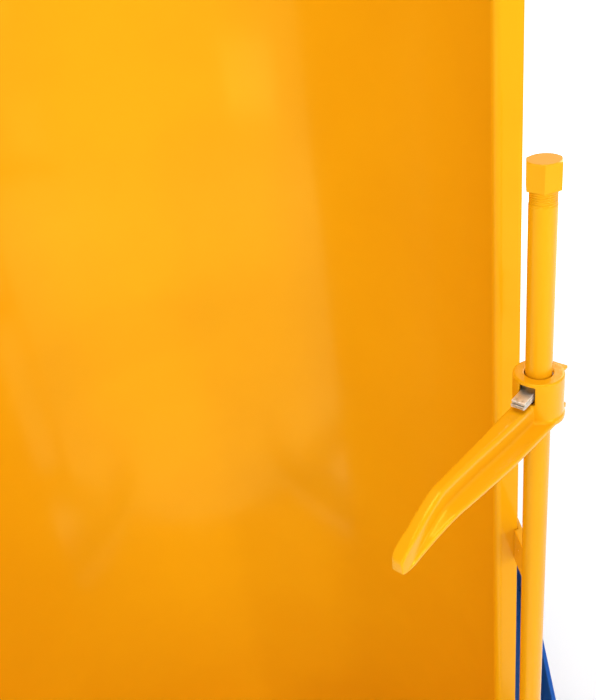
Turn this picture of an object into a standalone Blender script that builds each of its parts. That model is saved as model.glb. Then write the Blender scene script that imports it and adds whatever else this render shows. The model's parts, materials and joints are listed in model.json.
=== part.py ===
"""Hydraulic drum tipper: a curved chute on a floor frame, tipped by two cylinders, with a sliding clamp for the drum's rim.

Lengths in the constants are millimetres, in chute coordinates: x to the right, y towards the rear, z up,
with the chute's axis at x = y = 0 and the height of a 55 gallon drum's rim at z = 0.
The model itself is in metres, standing on z = 0 with its footprint centred on the origin.
"""

import math

import bmesh
import bpy
from mathutils import Matrix, Vector

# ---- driving dimensions -------------------------------------------------
FLOOR = -900.0          # floor level below the drum's rim
Y_SHIFT = -120.0        # chute axis in front of the footprint's centre
R_IN = 309.0            # inner radius of the chute
SHEET = 3.0             # chute sheet
FOLD_Y = 19.4           # front face of the flange
FOLD_R = 8.0            # radius of the fold
FLANGE_X = 333.0        # outer edge of the flange
CHUTE_TOP = 600.0
CHUTE_BOTTOM = -884.7
PLATE_TOP = -885.0      # floor plate of the chute
PLATE_T = 8.0
PIVOT = (400.0, 235.0)          # y, z of the tipping shaft
SHAFT_R = 22.5
ROD_PIN = (280.0, -40.0)        # y, z where the rods push
BASE_PIN = (480.0, -790.0)      # y, z of the cylinders' feet
LANE = 300.0                    # x of each cylinder's centre plane
TIP_END = math.radians(135)
POST = (320.0, -76.0)           # x, y of the clamp post
POST_R = 11.0
POST_TOP, POST_LOW = 240.0, -690.0
ARM_DIR = math.atan2(-0.698, -0.716)    # where the clamp arm points
COLLAR_R, COLLAR_BORE = 21.1, 11.8
COLLAR_TOP, COLLAR_LOW = 66.8, 24.5
RAIL_IN, RAIL_OUT = 340.0, 400.0
RAIL_TOP = -823.0
FRONT, REAR = -480.0, 720.0
UPRIGHT_TOP = 174.7
GAP = 0.3

YELLOW = (0.94, 0.47, 0.02, 1)
BLUE = (0.006, 0.07, 0.35, 1)
ZINC = (0.62, 0.57, 0.42, 1)
STEEL = (0.6, 0.6, 0.6, 1)
BLACK = (0.02, 0.02, 0.022, 1)
BRASS = (0.65, 0.45, 0.16, 1)

for old in list(bpy.data.objects):
    bpy.data.objects.remove(old, do_unlink=True)

parts = bpy.data.collections.new("drum_tipper")
cutters = bpy.data.collections.new("cutters")
bpy.context.scene.collection.children.link(parts)
bpy.context.scene.collection.children.link(cutters)


def world(x, y, z):
    """Chute coordinates in mm to the model's metres."""
    return Vector((x * 0.001, (y + Y_SHIFT) * 0.001, (z - FLOOR) * 0.001))


def place_of(origin):
    return Vector((0, 0, 0)) if origin is None or tuple(origin) == (0, 0, 0) else world(*origin)


def material(name, colour, roughness, metallic=0.0):
    made = bpy.data.materials.new(name)
    made.use_nodes = True
    shader = made.node_tree.nodes["Principled BSDF"]
    shader.inputs["Base Color"].default_value = colour
    shader.inputs["Roughness"].default_value = roughness
    shader.inputs["Metallic"].default_value = metallic
    return made


def finish(name, mesh, colour, roughness, metallic, owner, origin, matrix=Matrix()):
    """Puts the mesh, given in metres, on an object whose origin is at origin."""
    mesh.transform(Matrix.Translation(-origin) @ matrix)
    mesh.name = name
    obj = bpy.data.objects.new(name, mesh)
    (cutters if owner == "cutter" else parts).objects.link(obj)
    obj.location = origin
    if owner == "cutter":
        obj.hide_render = True
        obj.display_type = "WIRE"
    else:
        mesh.materials.clear()
        mesh.materials.append(material(name, colour, roughness, metallic))
        if owner is not None:
            obj.parent = owner
            obj.location = origin - owner_place[owner.name]
    mesh.shade_smooth()
    mesh.set_sharp_from_angle(angle=math.radians(35))
    return obj


owner_place = {}


def axis_empty(name, place, owner=None):
    """An empty on a joint's axis, which carries what turns or slides there."""
    empty = bpy.data.objects.new(name, None)
    parts.objects.link(empty)
    empty.location = place if owner is None else place - owner_place[owner.name]
    empty.parent = owner
    owner_place[name] = place
    return empty


def frame_of(along, up):
    """Columns: across, up, along."""
    along = Vector(along).normalized()
    across = Vector(up).cross(along).normalized()
    up = along.cross(across)
    return Matrix((across, up, along)).transposed().to_4x4()


AXES = {
    "X": Matrix(((0, 0, 1, 0), (1, 0, 0, 0), (0, 1, 0, 0), (0, 0, 0, 1))),
    "Y": Matrix(((0, 1, 0, 0), (0, 0, 1, 0), (1, 0, 0, 0), (0, 0, 0, 1))),
    "Z": Matrix(),
}


def outline_mesh(loops, half):
    """Extruded flat outline, from a 2D curve; every loop after the first is a hole."""
    curve = bpy.data.curves.new("outline", "CURVE")
    curve.dimensions = "2D"
    curve.fill_mode = "BOTH"
    curve.extrude = half * 0.001
    for loop in loops:
        spline = curve.splines.new("POLY")
        spline.points.add(len(loop) - 1)
        for point, (u, v) in zip(spline.points, loop):
            point.co = (u * 0.001, v * 0.001, 0, 1)
        spline.use_cyclic_u = True
    return curve_mesh(curve)


def curve_mesh(curve):
    holder = bpy.data.objects.new("curve", curve)
    bpy.context.scene.collection.objects.link(holder)
    graph = bpy.context.evaluated_depsgraph_get()
    mesh = bpy.data.meshes.new_from_object(holder.evaluated_get(graph))
    bpy.data.objects.remove(holder, do_unlink=True)
    bpy.data.curves.remove(curve)
    bm = bmesh.new()
    bm.from_mesh(mesh)
    bmesh.ops.remove_doubles(bm, verts=bm.verts, dist=0.000005)
    bmesh.ops.recalc_face_normals(bm, faces=bm.faces)
    bm.to_mesh(mesh)
    bm.free()
    return mesh


def look(kind):
    return {
        "yellow": (YELLOW, 0.25, 0.0), "blue": (BLUE, 0.35, 0.0), "zinc": (ZINC, 0.35, 1.0),
        "steel": (STEEL, 0.25, 1.0), "black": (BLACK, 0.5, 0.0), "brass": (BRASS, 0.35, 1.0),
        "green": ((0.02, 0.3, 0.06, 1), 0.4, 0.0), "red": ((0.5, 0.02, 0.02, 1), 0.4, 0.0),
    }[kind]


def prism(name, axis, loops, low, high, kind, owner=None, origin=(0, 0, 0)):
    """An outline in the two axes that follow axis in X, Y, Z order, extruded from low to high along it."""
    low, high = min(low, high), max(low, high)
    turn = AXES[axis]
    mesh = outline_mesh(loops, (high - low) / 2)
    middle = turn.to_3x3() @ Vector((0, 0, (low + high) / 2))
    shift = world(*middle)
    return finish(name, mesh, *look(kind), owner, place_of(origin), Matrix.Translation(shift) @ turn)


def rect(u0, u1, v0, v1):
    return [(u0, v0), (u1, v0), (u1, v1), (u0, v1)]


def arc(cu, cv, r, a0, a1, count):
    """Points from a0 to a1 degrees, both ends included."""
    return [
        (cu + r * math.cos(math.radians(a0 + (a1 - a0) * i / count)),
         cv + r * math.sin(math.radians(a0 + (a1 - a0) * i / count)))
        for i in range(count + 1)
    ]


def ring(cu, cv, r, count=24):
    return arc(cu, cv, r, 0, 360, count)[:-1]


def box(name, x, y, z, kind, owner=None, origin=(0, 0, 0), bevel=0.0, segments=1):
    bm = bmesh.new()
    bmesh.ops.create_cube(bm, size=1)
    size = Matrix.Diagonal(((x[1] - x[0]) * 0.001, (y[1] - y[0]) * 0.001, (z[1] - z[0]) * 0.001, 1))
    middle = world((x[0] + x[1]) / 2, (y[0] + y[1]) / 2, (z[0] + z[1]) / 2)
    bmesh.ops.transform(bm, matrix=Matrix.Translation(middle) @ size, verts=bm.verts)
    mesh = bpy.data.meshes.new(name)
    bm.to_mesh(mesh)
    bm.free()
    obj = finish(name, mesh, *look(kind), owner, place_of(origin))
    if bevel:
        soften(obj, bevel, segments)
    return obj


def soften(obj, width, segments=1):
    modifier = obj.modifiers.new("edges", "BEVEL")
    modifier.width = width * 0.001
    modifier.segments = segments
    modifier.limit_method = "ANGLE"
    modifier.angle_limit = math.radians(40)


def cylinder(name, start, end, r, kind, owner=None, origin=(0, 0, 0), count=32, r_end=None):
    """A round bar between two points in chute coordinates."""
    a, b = Vector(start), Vector(end)
    along = b - a
    up = Vector((1, 0, 0)) if abs(along.normalized().x) < 0.9 else Vector((0, 0, 1))
    bm = bmesh.new()
    bmesh.ops.create_cone(bm, cap_ends=True, segments=count, radius1=r * 0.001,
                          radius2=(r if r_end is None else r_end) * 0.001, depth=along.length * 0.001)
    middle = (a + b) / 2
    bmesh.ops.transform(bm, matrix=Matrix.Translation(world(*middle)) @ frame_of(along, up), verts=bm.verts)
    mesh = bpy.data.meshes.new(name)
    bm.to_mesh(mesh)
    bm.free()
    return finish(name, mesh, *look(kind), owner, place_of(origin))


def turned(name, profile, start, along, kind, owner=None, origin=(0, 0, 0), count=32):
    """A Screw of (radius, height) points, run down the outer side, turned about the line from start."""
    mesh = bpy.data.meshes.new(name)
    points = [Vector((r * 0.001, 0, h * 0.001)) for r, h in profile]
    closed = profile[0][0] > 0
    edges = [(i, i + 1) for i in range(len(points) - 1)] + ([(len(points) - 1, 0)] if closed else [])
    mesh.from_pydata(points, edges, [])
    up = Vector((1, 0, 0)) if abs(Vector(along).normalized().x) < 0.9 else Vector((0, 0, 1))
    matrix = frame_of(along, up)
    obj = bpy.data.objects.new("profile", mesh)
    bpy.context.scene.collection.objects.link(obj)
    screw = obj.modifiers.new("turn", "SCREW")
    screw.steps = screw.render_steps = count
    screw.use_merge_vertices = True
    screw.merge_threshold = 0.00005
    screw.use_normal_calculate = True
    graph = bpy.context.evaluated_depsgraph_get()
    made = bpy.data.meshes.new_from_object(obj.evaluated_get(graph))
    bpy.data.objects.remove(obj, do_unlink=True)
    bpy.data.meshes.remove(mesh)
    bm = bmesh.new()
    bm.from_mesh(made)
    bmesh.ops.remove_doubles(bm, verts=bm.verts, dist=0.00001)
    bmesh.ops.recalc_face_normals(bm, faces=bm.faces)
    bm.to_mesh(made)
    bm.free()
    return finish(name, made, *look(kind), owner, place_of(origin),
                  Matrix.Translation(world(*start)) @ matrix)


def boolean(obj, other, operation):
    modifier = obj.modifiers.new(other.name, "BOOLEAN")
    modifier.operation = operation
    modifier.object = other
    modifier.solver = "EXACT"


# ---- chute --------------------------------------------------------------
pivot = (0.0, *PIVOT)
chute = axis_empty("chute_axis", world(*pivot))


def chute_profile():
    """Front and inner face of the sheet, from the right flange round to the left one."""
    centre_y = FOLD_Y + FOLD_R
    centre_x = math.sqrt((R_IN + FOLD_R) ** 2 - centre_y ** 2)
    meet = math.degrees(math.atan2(centre_y, centre_x))
    fold = arc(centre_x, centre_y, FOLD_R, 270, 180 + meet, 5)
    big = arc(0, 0, R_IN, meet, 180 - meet, 56)
    right = [(FLANGE_X, FOLD_Y)] + fold
    left = [(-x, y) for x, y in reversed(right)]
    return right + big[1:-1] + left


def chute_shell():
    bm = bmesh.new()
    rows = []
    for z in (CHUTE_BOTTOM, CHUTE_TOP):
        rows.append([bm.verts.new(world(x, y, z)) for x, y in chute_profile()])
    for i in range(len(rows[0]) - 1):
        bm.faces.new((rows[0][i], rows[0][i + 1], rows[1][i + 1], rows[1][i]))
    bmesh.ops.recalc_face_normals(bm, faces=bm.faces)
    middle = bm.faces[:][len(rows[0]) // 2]
    middle.normal_update()
    if middle.normal.y > 0:
        bmesh.ops.reverse_faces(bm, faces=bm.faces)
    mesh = bpy.data.meshes.new("chute_shell")
    bm.to_mesh(mesh)
    bm.free()
    obj = finish("chute_shell", mesh, *look("yellow"), chute, world(*pivot))
    solid = obj.modifiers.new("sheet", "SOLIDIFY")
    solid.thickness = SHEET * 0.001
    solid.offset = -1
    solid.use_even_offset = True
    return obj


chute_shell()

floor_outline = (
    [(333, 8), (333, 27), (318, 27)] + arc(0, 0, 318, 8, 172, 40) + [(-318, 27), (-333, 27), (-333, 8), (-296, 8)]
    + arc(-256, -262, 40, 180, 270, 6) + arc(256, -262, 40, 270, 360, 6) + [(296, 8)]
)
prism("chute_floor_plate", "Z", [floor_outline], PLATE_TOP - PLATE_T, PLATE_TOP, "yellow", chute, pivot)

for name, z in (("band_lower", -640), ("band_middle", -130), ("band_upper", 520)):
    sector = arc(0, 0, R_IN + SHEET + GAP, 20, 160, 28) + list(reversed(arc(0, 0, R_IN + SHEET + 6.3, 20, 160, 28)))
    prism(name, "Z", [sector], z - 20, z + 20, "yellow", chute, pivot)

py, pz = PIVOT
ay, az = ROD_PIN
for side, sign in (("left", -1), ("right", 1)):
    on_skin, on_band = 204.5, 214.2
    plate = (
        [(on_band, -150), (252, -150)] + arc(ay, az, 36, 240, 350, 8) + arc(py, pz, 52, 290, 450, 12) + [(262, 540), (on_band, 540)]
        + [(on_band, 499.7), (on_skin, 499.7), (on_skin, -109.7), (on_band, -109.7)]
    )
    prism(f"tip_arm_{side}", "X", [plate, ring(py, pz, SHAFT_R + GAP, 48)], sign * 236, sign * 248, "yellow", chute, pivot)
cylinder("pivot_shaft", (-398, py, pz), (398, py, pz), SHAFT_R, "steel", chute, pivot, 48)

px, pyy = POST
for name, z in (("clamp_bracket_upper", -216), ("clamp_bracket_lower", -620)):
    bar = [(329, 19.1), (333.3, 19.1), (333.3, 42), (338.3, 42), (338.3, -50), (331, -67.5), (329, -68.8)]
    prism(name, "Z", [bar], z - 21, z + 21, "yellow", chute, pivot)

# ---- clamp --------------------------------------------------------------
post_place = (px, pyy, 0.0)
post = axis_empty("post_axis", world(*post_place), chute)
cylinder("clamp_post", (px, pyy, POST_LOW), (px, pyy, POST_TOP), POST_R, "yellow", post, post_place, 32)

across_flats = 25.3
hexagon = [(px + across_flats / math.sqrt(3) * math.cos(math.radians(a + 255)),
            pyy + across_flats / math.sqrt(3) * math.sin(math.radians(a + 255))) for a in range(0, 360, 60)]
nut = prism("post_nut", "Z", [hexagon], 227, 249, "yellow", post, post_place)
chamfer = turned("nut_chamfer", [(0, 260), (30, 260), (30, 241), (12.2, 249.2), (12.2, 255), (0, 255)],
                 (px, pyy, 0), (0, 0, 1), "yellow", "cutter", post_place, 32)
bore = cylinder("nut_bore", (px, pyy, 200), (px, pyy, POST_TOP + GAP), POST_R + GAP, "yellow", "cutter", post_place, 32)
boolean(nut, chamfer, "DIFFERENCE")
boolean(nut, bore, "DIFFERENCE")

slide = axis_empty("clamp_axis", world(*post_place), post)
along = Vector((math.cos(ARM_DIR), math.sin(ARM_DIR), 0))
aside = Vector((-math.sin(ARM_DIR), math.cos(ARM_DIR), 0))


def on_arm(s, n, z):
    """s along the arm from the post's axis, n towards the front side, in chute coordinates."""
    p = along * s + aside * n
    return (px + p.x, pyy + p.y, z)


# The casting is a rib on a flat base flange. Each section: s, height of the rib's top, the rib's
# left and right sides, the flange's left and right edges.
RIB_H, ARM_H, NOSE_LOW = 16.0, 20.8, 4.5
ARM = [
    (4, 45.5, -9.6, 6.0, -19.0, 20.8),
    (46, 45.5, -9.4, 6.0, -18.8, 20.6),
    (72, 45.5, -8.0, 5.5, -18.4, 20.4),
    (100, 45.5, -7.3, 4.2, -17.6, 18.7),
    (130, 45.5, -6.6, 3.7, -16.2, 16.6),
    (146, 45.3, -6.4, 4.0, -14.6, 15.3),
    (152, 44.3, -6.4, 4.2, -13.6, 14.6),
    (158, 42.2, -6.4, 4.2, -12.6, 13.2),
    (171, 36.4, -6.4, 4.2, -11.0, 10.2),
    (183, 29.7, -6.4, 4.2, -9.2, 7.2),
    (191, 25.2, -6.3, 4.0, -7.8, 5.4),
    (197, 20.8, -6.0, 3.8, -7.0, 4.6),
    (200.5, 16.0, -5.0, 3.2, -5.8, 4.0),
]


def arm_section(top, left, right, low_left, low_right):
    """(n, z) points round the arm, from the rib's top left."""
    low = max(top - ARM_H, NOSE_LOW)
    step = max(top - RIB_H, low + 1.2)
    return [(left, top), (right, top), (right + 0.3, step), (low_right, step - 0.4), (low_right + 0.2, low),
            (low_left - 0.2, low), (low_left, step - 0.4), (left - 0.3, step)]


def arm_bar():
    """Loft between the unlike sections of the casting."""
    bm = bmesh.new()
    rows = []
    for s, *shape in ARM:
        rows.append([bm.verts.new(world(*on_arm(s, n, z))) for n, z in arm_section(*shape)])
    count = len(rows[0])
    for a, b in zip(rows, rows[1:]):
        for i in range(count):
            bm.faces.new((a[i], a[(i + 1) % count], b[(i + 1) % count], b[i]))
    bm.faces.new(list(reversed(rows[0])))
    bm.faces.new(rows[-1])
    bmesh.ops.triangulate(bm, faces=bm.faces)
    bmesh.ops.recalc_face_normals(bm, faces=bm.faces)
    mesh = bpy.data.meshes.new("arm_bar")
    bm.to_mesh(mesh)
    bm.free()
    return finish("arm_bar", mesh, *look("yellow"), "cutter", world(*post_place))


def arm_box(name, s, n, z):
    """A block along the arm's direction."""
    bm = bmesh.new()
    bmesh.ops.create_cube(bm, size=1)
    size = Matrix.Diagonal(((s[1] - s[0]) * 0.001, (n[1] - n[0]) * 0.001, (z[1] - z[0]) * 0.001, 1))
    middle = world(*on_arm((s[0] + s[1]) / 2, (n[0] + n[1]) / 2, (z[0] + z[1]) / 2))
    bmesh.ops.transform(bm, matrix=Matrix.Translation(middle) @ Matrix.Rotation(ARM_DIR, 4, "Z") @ size, verts=bm.verts)
    mesh = bpy.data.meshes.new(name)
    bm.to_mesh(mesh)
    bm.free()
    return finish(name, mesh, *look("yellow"), "cutter", world(*post_place))


arm = turned("clamp_arm", [(COLLAR_BORE, COLLAR_TOP), (COLLAR_R - 1, COLLAR_TOP), (COLLAR_R, COLLAR_TOP - 1),
                           (COLLAR_R, 30.2), (COLLAR_R + 0.8, 29.4), (COLLAR_R + 0.8, COLLAR_LOW),
                           (COLLAR_BORE, COLLAR_LOW)],
             (px, pyy, 0), (0, 0, 1), "yellow", slide, post_place, 40)
boolean(arm, arm_bar(), "UNION")
boolean(arm, arm_box("ear_top", (-21, -8), (-15.3, 15.3), (63.9, 66.7)), "UNION")
boolean(arm, arm_box("ear_low", (-21, -8), (-15.3, 15.3), (24.6, 29.3)), "UNION")
boolean(arm, cylinder("arm_bore", (px, pyy, -20), (px, pyy, 90), COLLAR_BORE, "yellow", "cutter", post_place, 40), "DIFFERENCE")
boolean(arm, cylinder("arm_chamber", (px, pyy, 46.5), (px, pyy, 64.4), 18.4, "yellow", "cutter", post_place, 32), "DIFFERENCE")
boolean(arm, arm_box("slot_front", (6, 40), (-7.2, 7.2), (46.6, 63.6)), "DIFFERENCE")
boolean(arm, arm_box("slot_rear", (-40, -6), (-7.2, 7.2), (50.5, 64.4)), "DIFFERENCE")

PLATE_TILT = math.radians(-8)
PLATE_PIVOT = (-21.0, 60.5)         # s, z of the edge that the stack rocks on
hinge_place = on_arm(PLATE_PIVOT[0], 0, PLATE_PIVOT[1])
plates = axis_empty("plates_axis", world(*hinge_place), slide)
eye = 16.6
for number in range(4):
    half = 6.0
    a = math.degrees(math.asin(half / eye))
    outline = [(34.0, -half), (34.0, half)] + arc(0, 0, eye, a, 180 - a, 10) + [(-24.0, half), (-24.0, -half)] + arc(0, 0, eye, 180 + a, 360 - a, 10)
    mesh = outline_mesh([outline, ring(0, 0, 12.6, 24)], 0.93)
    top = 61.0 - 0.95 - number * 1.92
    place = (Matrix.Translation(world(*on_arm(0, 0, top - 0.5))) @ Matrix.Rotation(ARM_DIR, 4, "Z")
             @ Matrix.Rotation(-PLATE_TILT, 4, "Y"))
    finish(f"clutch_plate_{number + 1}", mesh, *look("zinc"), plates, world(*hinge_place), place)

# ---- floor frame --------------------------------------------------------
rail_z = (FLOOR + 8.3, RAIL_TOP)
for side, sign in (("left", -1), ("right", 1)):
    z0, z1 = rail_z
    channel = [(z0, sign * RAIL_IN), (z0, sign * RAIL_OUT), (z1, sign * RAIL_OUT), (z1, sign * RAIL_IN),
               (z1 - 6, sign * RAIL_IN), (z1 - 6, sign * (RAIL_OUT - 6)), (z0 + 6, sign * (RAIL_OUT - 6)), (z0 + 6, sign * RAIL_IN)]
    rail = prism(f"rail_{side}", "Y", [channel], FRONT + 0.3, REAR - 0.3, "blue")
    for end, y in (("front", FRONT + 45), ("rear", REAR - 45)):
        boolean(rail, cylinder(f"anchor_hole_{end}_{side}", (sign * 372, y, z0 - 4), (sign * 372, y, z0 + 12), 7, "blue", "cutter", (0, 0, 0), 16), "DIFFERENCE")

    tube = [rect(sign * 340, sign * 400, 370, 430), rect(sign * 345, sign * 395, 375, 425)]
    prism(f"upright_{side}", "Z", tube, RAIL_TOP + GAP, UPRIGHT_TOP, "blue")

    # Angle-iron brace, its upright leg outside, cut level at the rail and plumb at the upright.
    slope = math.radians(40.4)
    way = Vector((0, math.cos(slope), math.sin(slope)))
    normal = Vector((0, -math.sin(slope), math.cos(slope)))
    start = Vector((0, 116, -498)) - way * 640
    section = [(sign * 400, 0), (sign * 394, 0), (sign * 394, -59), (sign * 340, -59), (sign * 340, -65), (sign * 400, -65)]
    mesh = outline_mesh([section], 520)
    turn = Matrix((Vector((1, 0, 0)), normal, Vector((1, 0, 0)).cross(normal))).transposed().to_4x4()
    centre = start + way * 520
    brace = finish(f"brace_{side}", mesh, *look("blue"), None, Vector((0, 0, 0)),
                   Matrix.Translation(world(*centre)) @ turn)
    low = box(f"brace_cut_low_{side}", (-460, 460), (-900, 700), (-1300, RAIL_TOP + GAP), "blue", "cutter")
    high = box(f"brace_cut_high_{side}", (-460, 460), (370 - GAP, 900), (-1200, 300), "blue", "cutter")
    boolean(brace, low, "DIFFERENCE")
    boolean(brace, high, "DIFFERENCE")

    for end, y0, y1 in (("front", FRONT, FRONT + 90), ("rear", REAR - 90, REAR)):
        foot = [rect(sign * 332, sign * 412, y0, y1), ring(sign * 372, (y0 + y1) / 2, 7, 16)]
        prism(f"foot_{end}_{side}", "Z", foot, FLOOR, FLOOR + 8, "blue")

    block = (
        [(py - 64, UPRIGHT_TOP + 0.3), (py + 64, UPRIGHT_TOP + 0.3), (py + 64, UPRIGHT_TOP + 20)]
        + arc(py, pz, 42, 0, 180, 20) + [(py - 64, UPRIGHT_TOP + 20)]
    )
    prism(f"bearing_block_{side}", "X", [block, ring(py, pz, 30.3, 40)], sign * 343, sign * 397, "blue")
    prism(f"bearing_bush_{side}", "X", [ring(py, pz, 30.0, 40), ring(py, pz, SHAFT_R + GAP, 48)], sign * 342, sign * 398, "brass")

    stop = box(f"stop_bumper_{side}", sorted((sign * 314, sign * 339.7)), (23.2, 60), (-880, -832), "black", None, (0, 0, 0), 3, 2)

for name, y in (("cross_tube_front", 480), ("cross_tube_rear", 600)):
    z0, z1 = -885.2, -829.3
    loops = [[(y - 25, z0), (y + 25, z0), (y + 25, z1), (y - 25, z1)], [(y - 21, z0 + 4), (y + 21, z0 + 4), (y + 21, z1 - 4), (y - 21, z1 - 4)]]
    prism(name, "X", loops, -393.7, 393.7, "blue")

# ---- cylinders ----------------------------------------------------------
by, bz = BASE_PIN
reach = Vector((0, ay - by, az - bz))
closed_length = reach.length
direction = reach.normalized()
CROSS_TOP = -829.3
for side, sign in (("left", -1), ("right", 1)):
    x = sign * LANE
    base = (x, by, bz)
    barrel_axis = axis_empty(f"barrel_axis_{side}", world(*base))
    rod_axis = axis_empty(f"rod_axis_{side}", world(x, ay, az), barrel_axis)

    clevis = box(f"base_clevis_{side}", sorted((x - 31, x + 31)), (by - 30, by + 30), (CROSS_TOP + GAP, bz + 24), "blue")
    soften(clevis, 8, 2)
    gap = box(f"clevis_gap_{side}", sorted((x - 16.5, x + 16.5)), (by - 50, by + 50), (bz - 29, bz + 60), "blue", "cutter")
    hole = cylinder(f"clevis_hole_{side}", (x - 50, by, bz), (x + 50, by, bz), 12.3, "blue", "cutter", (0, 0, 0), 32)
    boolean(clevis, gap, "DIFFERENCE")
    boolean(clevis, hole, "DIFFERENCE")
    cylinder(f"base_pin_{side}", (x - 36, by, bz), (x + 36, by, bz), 12.0, "zinc", None, (0, 0, 0), 32)

    at = lambda d: tuple(Vector(base) + direction * d)
    barrel = turned(f"cylinder_barrel_{side}", [(0, 668), (31, 668), (31, 42), (29, 40), (0, 40)], base, direction,
                    "black", barrel_axis, base, 32)
    eye_block = cylinder(f"barrel_eye_{side}", (x - 15, by, bz), (x + 15, by, bz), 22, "black", "cutter", base, 32)
    neck = cylinder(f"barrel_neck_{side}", at(6), at(44), 15, "black", "cutter", base, 24)
    port = cylinder(f"barrel_port_{side}", tuple(Vector(at(76)) + Vector((-sign * 24, 0, 0))), tuple(Vector(at(76)) + Vector((-sign * 42, 0, 0))), 9, "black", "cutter", base, 20)
    eye_hole = cylinder(f"barrel_eye_hole_{side}", (x - 40, by, bz), (x + 40, by, bz), 12.3, "black", "cutter", base, 32)
    for shape in (eye_block, neck):
        boolean(barrel, shape, "UNION")
    bore_cut = cylinder(f"barrel_bore_{side}", at(58), at(700), 26, "black", "cutter", base, 32)
    boolean(barrel, port, "UNION")
    boolean(barrel, bore_cut, "DIFFERENCE")
    boolean(barrel, eye_hole, "DIFFERENCE")
    turned(f"cylinder_gland_{side}", [(16.4, 700), (30, 700), (34, 696), (34, 668.3), (25.7, 668.3), (25.7, 650), (16.4, 650)],
           base, direction, "black", barrel_axis, base, 32)

    rod = turned(f"cylinder_rod_{side}", [(0, closed_length - 14), (16, closed_length - 14), (16, 106), (25.6, 106), (25.6, 66), (0, 66)],
                 base, direction, "steel", rod_axis, (x, ay, az), 32)
    rod_eye = cylinder(f"rod_eye_{side}", (x - 15, ay, az), (x + 15, ay, az), 24, "steel", "cutter", (x, ay, az), 32)
    rod_hole = cylinder(f"rod_eye_hole_{side}", (x - 40, ay, az), (x + 40, ay, az), 12.3, "steel", "cutter", (x, ay, az), 32)
    boolean(rod, rod_eye, "UNION")
    boolean(rod, rod_hole, "DIFFERENCE")
    cylinder(f"rod_pin_{side}", (sign * 249, ay, az), (sign * 320, ay, az), 12.0, "zinc", rod_axis, (x, ay, az), 32)

# ---- power unit ---------------------------------------------------------
box("power_base", (-200, 200), (448, 698), (-829, -823), "blue", None, (0, 0, 0), 1.5, 1)
tank_top = -690
box("reservoir", (-185, 60), (515, 690), (-822.7, tank_top), "blue", None, (0, 0, 0), 8, 3)
turned("filler_cap", [(0, 24), (16, 24), (18, 22), (18, 6), (13, 5), (13, 0), (0, 0)], (-150, 550, tank_top + GAP), (0, 0, 1), "black", None, (0, 0, 0), 24)
motor_y, motor_z = 605.0, -612.0
motor = cylinder("motor", (-95, motor_y, motor_z), (55, motor_y, motor_z), 62, "blue", None, (0, 0, 0), 36)
saddle = box("motor_saddle", (-70, 40), (565, 645), (tank_top + GAP, motor_z), "blue", "cutter")
terminal = box("motor_terminal", (-55, 15), (motor_y - 40, motor_y + 40), (motor_z + 40, motor_z + 82), "blue", "cutter")
boolean(motor, saddle, "UNION")
boolean(motor, terminal, "UNION")
turned("fan_cover", [(0, 36), (52, 36), (64, 26), (64, -8), (62.4, -8), (62.4, 20), (0, 20)][::1], (-95 - GAP, motor_y, motor_z), (-1, 0, 0), "black", None, (0, 0, 0), 36)
pump = box("pump_block", (62, 150), (560, 650), (-700, -566), "zinc", None, (0, 0, 0), 2, 1)
pump_foot = box("pump_foot", (70, 140), (570, 640), (-822.7, -690), "zinc", "cutter")
pump_flange = cylinder("pump_flange", (55 + GAP, motor_y, motor_z), (64, motor_y, motor_z), 40, "zinc", "cutter", (0, 0, 0), 32)
coil_a = cylinder("valve_coil_a", (85, 585, -570), (85, 585, -518), 17, "zinc", "cutter", (0, 0, 0), 24)
coil_b = cylinder("valve_coil_b", (128, 585, -570), (128, 585, -518), 17, "zinc", "cutter", (0, 0, 0), 24)
for shape in (pump_foot, pump_flange, coil_a, coil_b):
    boolean(pump, shape, "UNION")


def smooth_route(points, count):
    """Evenly spread points on a smooth curve through the route's own points."""
    points = [Vector(p) for p in points]
    ends = [points[0] * 2 - points[1]] + points + [points[-1] * 2 - points[-2]]
    dense = []
    for i in range(1, len(ends) - 2):
        p0, p1, p2, p3 = ends[i - 1:i + 3]
        for k in range(16):
            t = k / 16
            dense.append(0.5 * ((2 * p1) + (p2 - p0) * t + (2 * p0 - 5 * p1 + 4 * p2 - p3) * t * t + (3 * p1 - p0 - 3 * p2 + p3) * t ** 3))
    dense.append(points[-1])
    lengths = [0.0]
    for a, b in zip(dense, dense[1:]):
        lengths.append(lengths[-1] + (b - a).length)
    made, j = [], 0
    for i in range(count):
        want = lengths[-1] * i / (count - 1)
        while j < len(lengths) - 2 and lengths[j + 1] < want:
            j += 1
        share = (want - lengths[j]) / max(1e-9, lengths[j + 1] - lengths[j])
        made.append(dense[j].lerp(dense[j + 1], share))
    return made


def hose(name, route, r):
    curve = bpy.data.curves.new(name, "CURVE")
    curve.dimensions = "3D"
    curve.bevel_depth = r * 0.001
    curve.bevel_resolution = 2
    curve.use_fill_caps = True
    points = smooth_route(route, 34)
    spline = curve.splines.new("POLY")
    spline.points.add(len(points) - 1)
    for point, p in zip(spline.points, points):
        point.co = (*world(*p), 1)
    return finish(name, curve_mesh(curve), *look("black"), None, Vector((0, 0, 0)))


port_d = direction * 76
port_y, port_z = by + port_d.y, bz + port_d.z
hose("hose_left", [(-257.5, port_y, port_z), (-235, port_y, port_z), (-205, port_y + 12, port_z - 6), (-120, 490, -745), (0, 492, -745), (70, 498, -700), (92, 512, -650), (95, 530, -640), (95, 545, -640), (95, 559.4, -640)], 7)
hose("hose_right", [(257.5, port_y, port_z), (235, port_y, port_z), (205, port_y + 12, port_z - 4), (160, 494, -680), (130, 512, -645), (126, 530, -640), (126, 545, -640), (126, 559.4, -640)], 7)

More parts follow.
